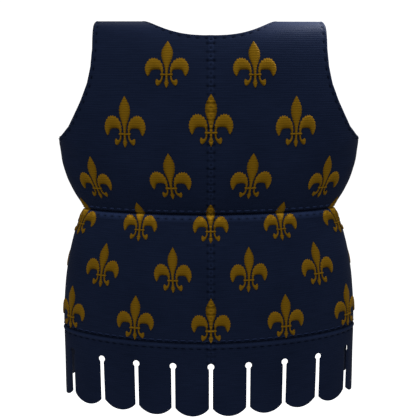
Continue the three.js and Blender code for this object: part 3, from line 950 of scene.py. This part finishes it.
def navy_wool(name, dark, light, rib_height):
    """Ribbed wool: level ribs of thread that wander a little, a fine weave across them, uneven dye."""
    wool = Finish(name)
    place = wool.add("UVMap", uv_map="cloth").outputs[0]
    down = wool.add("SeparateXYZ", (0, place)).outputs[1]
    down = wool.sum(wool.noise(place, 34.0), 0.0022, down)
    ribs = wool.ribs(down, THREAD_PITCH)
    weave = wool.noise(place, 1.0, 3.0, stretch=(420.0, 1500.0, 1.0))
    streaks = wool.noise(place, 1.0, stretch=(28.0, 460.0, 1.0))
    # the ribs show in the colour partly as the yarn's own ribbing and partly as painted shade in the
    # grooves and painted highlight on the crests
    mix = wool.sum(ribs, 0.11, 0.02)
    mix = wool.sum(weave, 0.80, mix)
    mix = wool.sum(wool.noise(place, 11.0, 3.0), 0.60, mix)
    mix = wool.sum(streaks, 0.80, mix)
    colour = wool.with_painted_shading(wool.colour(wool.stretched(mix, 0.76, 1.60), dark, light))
    height = wool.sum(weave, 0.9, ribs)
    height = wool.sum(wool.ribs(down, THREAD_PITCH / 4), 0.12, height)
    soft = {"Roughness": 0.58, "Specular IOR Level": 0.004, "Sheen Weight": 0.01, "Sheen Roughness": 0.35}
    return wool.done(colour, height, 1.0, rib_height, **soft)


def stitch_thread(name, dark, light):
    """Twisted sewing thread: a fine noise of fibres between a dark and a light colour."""
    thread = Finish(name)
    fibre = thread.noise(thread.add("TexCoord").outputs["Object"], 900.0)
    dull = {"Roughness": 0.7, "Specular IOR Level": 0.0}
    return thread.done(thread.colour(fibre, dark, light), fibre, 0.6, 0.0002, **dull)


def gold_silk(name, dark, light):
    """Satin stitch in gold silk: level ribs of thread with fine strands in each, with painted shade where
    ribs meet, and a soft silky gloss that takes the thread's own colour."""
    silk = Finish(name)
    place = silk.add("TexCoord").outputs["Object"]
    up = silk.add("SeparateXYZ", (0, place)).outputs[2]
    up = silk.sum(silk.noise(place, 60.0), 0.0016, up)
    ribs = silk.ribs(up, THREAD_PITCH)
    strands = silk.noise(place, 1.0, stretch=(160.0, 160.0, 1900.0))
    mix = silk.sum(strands, 0.8, silk.sum(ribs, 0.18, 0.06))
    colour = silk.with_painted_shading(silk.colour(silk.stretched(mix, 0.15, 0.95), dark, light))
    gloss = {"Metallic": 0.1, "Roughness": 0.5, "Specular IOR Level": 0.0}
    return silk.done(colour, silk.sum(strands, 0.8, ribs), 1.0, 0.0003, **gloss)


WOOL = navy_wool("navy_ribbed_wool", (0.0021, 0.0036, 0.0095), (0.0041, 0.0067, 0.0170), 0.00016)
# The three navy threads are one thread: the two lighter ones are painted highlight, for stitches that stand
# up into the light, and the darkest is painted shade, for stitches sunk in dimples and for the shadow under
# the upper hem stitches.
THREAD_PAINTED_HIGHLIGHT = stitch_thread("navy_thread", (0.0096, 0.0150, 0.0400), (0.0160, 0.0250, 0.0620))
THREAD_PAINTED_SOFT_HIGHLIGHT = stitch_thread("navy_thread_painted_soft_highlight", (0.0060, 0.0094, 0.0250), (0.0105, 0.0162, 0.0400))
THREAD_PAINTED_SHADE = stitch_thread("navy_thread_painted_shade", (0.0008, 0.0014, 0.0038), (0.0016, 0.0027, 0.0072))
GOLD = gold_silk("gold_satin_stitch", (0.046, 0.0240, 0.0014), (0.092, 0.0495, 0.0030))

# ---------------- the pieces
# Each kind of panel and the function that makes it.
MAKERS = {"chest": chest_panel, "skirt": skirt_panel, "hem_band": hem_panel}

for kind, make in MAKERS.items():
    for place in PLACES:
        for hand, side in (("left", 1), ("right", -1)):
            node = f"{kind}_{place}_{hand}"
            panel = make(f"cloth_{node}", place, side)
            panel.data.materials.append(WOOL)
            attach(panel, "root")
            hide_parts(node)


def add_trim(name, made, material):
    """A joined mesh of stitches or motifs on the cloth."""
    piece = add_mesh(name, *made)
    piece.data.materials.append(material)
    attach(piece, "root")
    return piece


def joined(*made):
    """Several sets of points and faces as one."""
    counts = np.cumsum([0] + [len(points) for points, _ in made[:-1]])
    return np.concatenate([points for points, _ in made]), np.concatenate(
        [faces + count for (_, faces), count in zip(made, counts)]
    )


fleurs = [add_trim(f"fleurs_row_{number}", fleur_row(number), GOLD) for number in FLEUR_ROWS]

# Level rows of stitches: height, length, width, how far they stand up and sink in, and the thread, lighter
# for painted highlight and dark for painted shade.
HEM_UPPER_Z = HEM_SEAM_Z + HEM_STITCHES["above"]
SHADE_DROP = 0.0021  # the upper hem stitches have a dark thread this far below them, a painted shadow
LEVEL_STITCHES = {
    "waist_upper": (WAIST_Z + WAIST_STITCHES["above"], 0.0102, 0.0021, 0.0012, 0, THREAD_PAINTED_HIGHLIGHT),
    "waist_lower": (WAIST_Z + WAIST_STITCHES["below"], 0.0085, 0.0022, 0.0007, 0.0003, THREAD_PAINTED_SHADE),
    "hem_upper": (HEM_UPPER_Z, 0.0112, 0.0021, 0.0010, 0, THREAD_PAINTED_SOFT_HIGHLIGHT),
    "hem_upper_shade": (HEM_UPPER_Z - SHADE_DROP, 0.0106, 0.0022, 0.0006, 0, THREAD_PAINTED_SHADE),
    "hem_lower": (HEM_SEAM_Z + HEM_STITCHES["below"], 0.0108, 0.0024, 0.0009, 0, THREAD_PAINTED_SHADE),
}
level_rows = [
    add_trim(f"stitches_{name}", level_stitches(*row[:-1]), row[-1])
    for name, row in LEVEL_STITCHES.items()
]
centre_trim = joined(*(
    centre_stitches(top, bottom, from_front(0.0, place))
    for place in PLACES
    for top, bottom in (
        (-NECK_DROP[place] - 0.010, WAIST_Z + 0.012),
        (WAIST_Z - 0.016, HEM_SEAM_Z + 0.012),
        (HEM_SEAM_Z - 0.009, KEYHOLE_TOP_Z + 0.005),
    )
))
centre_trim = add_trim("stitches_centre_seams", centre_trim, THREAD_PAINTED_SHADE)
edge_trim = joined(*(edge_stitches(place, which) for place in PLACES for which in (0, 1)))
edge_trim = add_trim("stitches_neck_and_armholes", edge_trim, THREAD_PAINTED_SHADE)

# ---------------- camera, light and floor
CAMERA_PITCH = 0.219  # radians down
CAMERA_YAW = 0.024
CAMERA_DISTANCE = 1.170
LOOK_AT = np.array([0.0007, 0.0, -0.3519])
FRAME_PIXELS = 420
FOCAL_PIXELS = 600
FLOOR_Z = -1.45
FLOOR_REACH = 40.0
ROOM_LIGHT = 1.11


def aim(thing, spot, forward, right):
    """Stands a camera or light at a spot, turned to look forward with its right-hand side to the right."""
    turn = np.stack([right, np.cross(right, forward), -forward], axis=1)
    thing.matrix_world = Matrix.Translation(spot.tolist()) @ Matrix(turn.tolist()).to_4x4()
    bpy.context.scene.collection.objects.link(thing)


def place_camera():
    """A camera that looks at the middle of the garment from a little above it."""
    ahead = np.array([math.sin(CAMERA_YAW), math.cos(CAMERA_YAW), 0.0])
    forward = ahead * math.cos(CAMERA_PITCH) - np.array([0.0, 0.0, math.sin(CAMERA_PITCH)])
    data = bpy.data.cameras.new("camera")
    data.sensor_width = 36
    data.lens = 36 * FOCAL_PIXELS / FRAME_PIXELS
    data.clip_start, data.clip_end = 0.05, 60
    camera = bpy.data.objects.new("camera", data)
    right = np.array([math.cos(CAMERA_YAW), -math.sin(CAMERA_YAW), 0.0])
    aim(camera, LOOK_AT - forward * CAMERA_DISTANCE, forward, right)
    bpy.context.scene.camera = camera


def area_light(name, spot, target, size, power):
    """A square soft light that faces its target."""
    data = bpy.data.lights.new(name, "AREA")
    data.size, data.energy = size, power
    towards = unit(np.array(target) - np.array(spot))
    aim(bpy.data.objects.new(name, data), np.array(spot), towards, unit(np.cross(towards, [0.0, 0.0, 1.0])))


def studio():
    """A wide pale floor below the garment, an even white room, a wide soft light overhead and a small one
    over the garment's left shoulder."""
    corners = np.array([(-1, -1, 0), (1, -1, 0), (1, 1, 0), (-1, 1, 0)]) * FLOOR_REACH + (0, 0, FLOOR_Z)
    floor = add_mesh("floor", corners, np.array([[0, 1, 2, 3]]))
    pale = Finish("pale_floor")
    pale.join(pale.shader, "Base Color", (0.97, 0.97, 0.97, 1))
    pale.join(pale.shader, "Roughness", 0.9)
    floor.data.materials.append(pale.material)
    world = bpy.data.worlds.new("white_room")
    bpy.context.scene.world = world
    world.use_nodes = True
    background = world.node_tree.nodes["Background"]
    background.inputs["Color"].default_value = (1.0, 1.0, 1.0, 1)
    background.inputs["Strength"].default_value = ROOM_LIGHT
    area_light("overhead", (-0.10, -0.85, 1.47), (0.0, 0.0, -0.35), 0.7, 40)
    area_light("shoulder", (0.32, 0.06, 0.20), (0.18, -0.03, -0.02), 0.22, 10)
    bpy.context.scene.view_settings.view_transform = "Standard"


place_camera()
studio()
